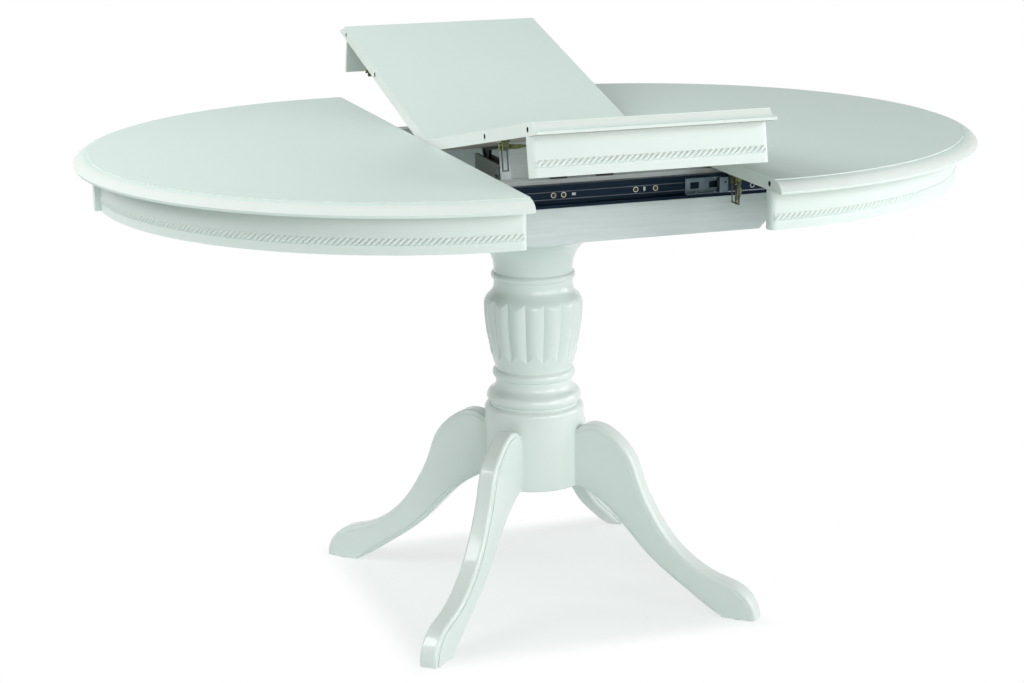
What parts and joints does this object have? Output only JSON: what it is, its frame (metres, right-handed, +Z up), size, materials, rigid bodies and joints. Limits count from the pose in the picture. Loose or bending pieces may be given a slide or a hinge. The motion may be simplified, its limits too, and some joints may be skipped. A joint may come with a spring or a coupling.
{
  "type": "butterfly leaf table",
  "caption": "Round pedestal dining table with half tops that draw apart on ball-bearing slides and a folding butterfly leaf between them, shown half raised.",
  "frame": {"origin": "on the floor under the axis of the column", "axes": "+X along the way the half tops draw apart, towards the half with the wire catches; +Y towards the back wing of the leaf; +Z up"},
  "size_m": [1.4158, 1.06, 0.8744],
  "materials": {
    "white_lacquer": "satin white lacquer on wood",
    "pale_wood": "thin grey-white paint on solid wood",
    "dark_steel": "blue-black coated steel",
    "black_steel": "black coated steel",
    "zinc_steel": "bright zinc plated steel",
    "grey_plastic": "grey moulded plastic with steel balls",
    "grey_steel": "grey-green coated steel",
    "dark_plastic": "dark moulded plastic",
    "dark_wire": "blackened spring wire",
    "brass": "dull brass",
    "beech": "fluted beech",
    "rest_rubber": "black rubber",
    "glide_plastic": "white plastic"
  },
  "bodies": {
    "base": {"column": "white_lacquer", "leg_front_left": "white_lacquer", "leg_front_right": "white_lacquer", "leg_back_left": "white_lacquer", "leg_back_right": "white_lacquer", "leg_dowels": "beech", "foot_glides": "glide_plastic", "pedestal_plate": "pale_wood", "front_rail": "pale_wood", "back_rail": "pale_wood", "left_cross_member": "pale_wood", "right_cross_member": "pale_wood", "plate_screws": "zinc_steel", "carrier_pins": "zinc_steel", "slide_screws": "brass", "outer_slides": "dark_steel", "rest_pads": "rest_rubber", "leaf_carrier": "grey_steel"},
    "left_half": {"left_top": "white_lacquer", "left_apron": "white_lacquer", "left_rope": "white_lacquer", "left_end_block": "white_lacquer", "left_cleats": "pale_wood", "left_runners": "dark_steel", "left_runner_screws": "zinc_steel", "left_pegs": "brass", "left_keepers": "brass"},
    "left_cages": {"left_retainers": "grey_plastic"},
    "right_half": {"right_top": "white_lacquer", "right_apron": "white_lacquer", "right_rope": "white_lacquer", "right_end_block": "white_lacquer", "right_cleats": "pale_wood", "right_runners": "dark_steel", "right_runner_screws": "zinc_steel", "right_bushes": "dark_plastic", "right_lock_bases": "brass"},
    "right_cages": {"right_retainers": "grey_plastic"},
    "front_wing": {"front_leaf": "white_lacquer", "front_leaf_apron": "white_lacquer", "front_leaf_rope": "white_lacquer", "front_leaf_batten": "pale_wood", "front_leaf_quadrants": "black_steel", "front_leaf_pegs": "brass", "front_leaf_bushes": "dark_plastic", "front_leaf_lock_base": "brass", "front_leaf_keeper": "brass"},
    "front_wing_catch": {"front_leaf_bail": "dark_wire"},
    "right_half_front_catch": {"right_front_bail": "dark_wire"},
    "back_wing": {"back_leaf": "white_lacquer", "back_leaf_apron": "white_lacquer", "back_leaf_rope": "white_lacquer", "back_leaf_batten": "pale_wood", "back_leaf_quadrants": "black_steel", "back_leaf_pegs": "brass", "back_leaf_bushes": "dark_plastic", "back_leaf_lock_base": "brass", "back_leaf_keeper": "brass"},
    "back_wing_catch": {"back_leaf_bail": "dark_wire"},
    "right_half_back_catch": {"right_back_bail": "dark_wire"}
  },
  "joints": [
    {"name": "left_half_slide", "type": "slide", "parent": "base", "child": "left_half", "axis": [-1, 0, 0], "range_m": [-0.0048, 0.015]},
    {"name": "left_cage_roll", "type": "slide", "parent": "base", "child": "left_cages", "axis": [-1, 0, 0], "range_m": [-0.0024, 0.0075]},
    {"name": "right_half_slide", "type": "slide", "parent": "base", "child": "right_half", "axis": [1, 0, 0], "range_m": [-0.0048, 0.015]},
    {"name": "right_cage_roll", "type": "slide", "parent": "base", "child": "right_cages", "axis": [1, 0, 0], "range_m": [-0.0024, 0.0075]},
    {"name": "front_wing_fold", "type": "hinge", "parent": "base", "child": "front_wing", "pos_m": [0, 0, 0.75], "axis": [-1, 0, 0], "range_deg": [-11.2, 68.8]},
    {"name": "right_front_catch_swing", "type": "hinge", "parent": "right_half", "child": "right_half_front_catch", "pos_m": [0.186, -0.36, 0.722], "axis": [0, 1, 0], "range_deg": [-80, 80]},
    {"name": "front_wing_catch_swing", "type": "hinge", "parent": "front_wing", "child": "front_wing_catch", "pos_m": [-0.165, -0.35858, 0.79246], "axis": [0, 0.981, -0.1942], "range_deg": [-80, 80]},
    {"name": "back_wing_fold", "type": "hinge", "parent": "base", "child": "back_wing", "pos_m": [0, 0, 0.75], "axis": [1, 0, 0], "range_deg": [-14.2, 65.8]},
    {"name": "right_back_catch_swing", "type": "hinge", "parent": "right_half", "child": "right_half_back_catch", "pos_m": [0.186, 0.36, 0.722], "axis": [0, 1, 0], "range_deg": [-80, 80]},
    {"name": "back_wing_catch_swing", "type": "hinge", "parent": "back_wing", "child": "back_wing_catch", "pos_m": [-0.165, 0.35587, 0.81117], "axis": [0, 0.9694, 0.2453], "range_deg": [0, 160]}
  ],
  "couplings": [
    {"joint": "left_cage_roll", "follows": "left_half_slide", "ratio": 0.5},
    {"joint": "right_cage_roll", "follows": "right_half_slide", "ratio": 0.5}
  ]
}
